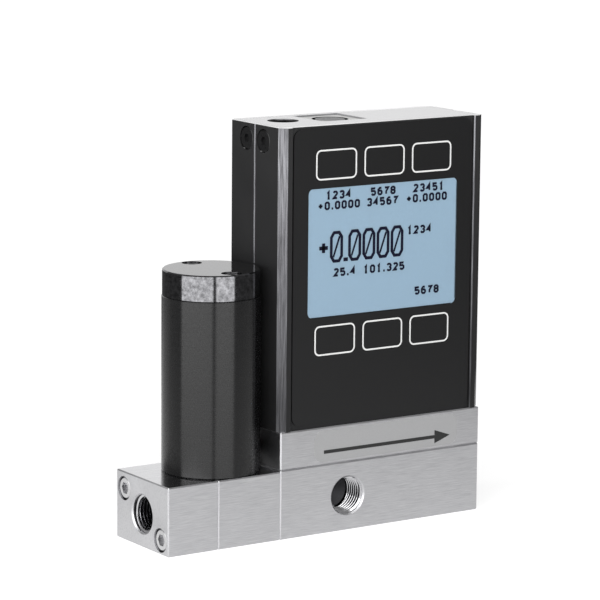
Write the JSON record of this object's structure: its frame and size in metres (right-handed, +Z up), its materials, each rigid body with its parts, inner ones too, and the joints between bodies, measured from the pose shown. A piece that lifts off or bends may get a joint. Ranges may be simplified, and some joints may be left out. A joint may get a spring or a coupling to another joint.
{
  "type": "pressure controller",
  "caption": "Inline pressure controller: bare metal flow blocks with pipe ports, a round black solenoid valve and an upright black housing with display, keys and sockets.",
  "frame": {"origin": "centre of the overall box on the plane that the blocks stand on", "axes": "+X along the flow from inlet to outlet, the display faces -Y, +Z up"},
  "size_m": [0.0948, 0.025, 0.1038],
  "materials": {
    "block_metal": "brushed, bare",
    "panel_metal": "fine brushed, bare",
    "shell_black": "black anodised, satin",
    "can_black": "black anodised, satin",
    "cap_black": "black, gloss",
    "overlay_film": "printed polyester film",
    "clear_lens": "clear acrylic",
    "lcd_glass": "liquid crystal glass, light blue",
    "label_film": "printed metallised film",
    "steel_screw": "stainless",
    "black_screw": "black oxide",
    "steel_part": "turned stainless",
    "seal_rubber": "black fluoroelastomer",
    "copper_coil": "enamelled copper wire",
    "bobbin_plastic": "glass-filled nylon",
    "brass_part": "turned brass",
    "board_green": "glass-epoxy laminate",
    "socket_plastic": "moulded black plastic",
    "frame_plastic": "moulded white plastic",
    "circuit_film": "printed polyester film",
    "lead_jacket": "soft lead jacket"
  },
  "bodies": {
    "controller": {"inlet_block": "block_metal", "valve_block": "block_metal", "base_block": "block_metal", "adapter_plate": "block_metal", "flow_label": "label_film", "inlet_seal": "seal_rubber", "base_seal": "seal_rubber", "plate_seal": "seal_rubber", "sensor_seal": "seal_rubber", "inlet_screws": "steel_screw", "plate_screws": "steel_screw", "shell_screws": "steel_screw", "orifice": "steel_part", "core_tube": "steel_part", "core_seal": "seal_rubber", "pole_piece": "steel_part", "plunger_spring": "steel_part", "valve_can": "can_black", "valve_cap": "cap_black", "cap_screws": "black_screw", "coil_bobbin": "bobbin_plastic", "coil_winding": "copper_coil", "flux_washer": "steel_part", "coil_nut": "steel_part", "coil_lead": "lead_jacket", "front_shell": "shell_black", "rear_shell": "shell_black", "keypad_overlay": "overlay_film", "keypad_circuit": "circuit_film", "key_domes": "steel_part", "display_window": "clear_lens", "lcd_glass": "lcd_glass", "lcd_frame": "frame_plastic", "display_board": "board_green", "main_board": "board_green", "display_posts": "brass_part", "main_posts": "brass_part", "display_screws": "steel_screw", "main_screws": "steel_screw", "board_header": "socket_plastic", "lead_plug": "frame_plastic", "connector_panel": "panel_metal", "left_panel_screws": "black_screw", "right_panel_screws": "black_screw", "power_jack": "socket_plastic", "din_socket": "socket_plastic", "pressure_sensor": "steel_part", "sensor_ring": "brass_part", "sensor_pins": "brass_part"},
    "plunger": {"plunger": "steel_part", "poppet_seal": "seal_rubber"}
  },
  "joints": [
    {"name": "plunger_lift", "type": "slide", "parent": "controller", "child": "plunger", "axis": [0, 0, 1], "range_m": [0, 0.0005], "stiffness_N_per_m": 200, "deforming": ["plunger_spring"]}
  ]
}
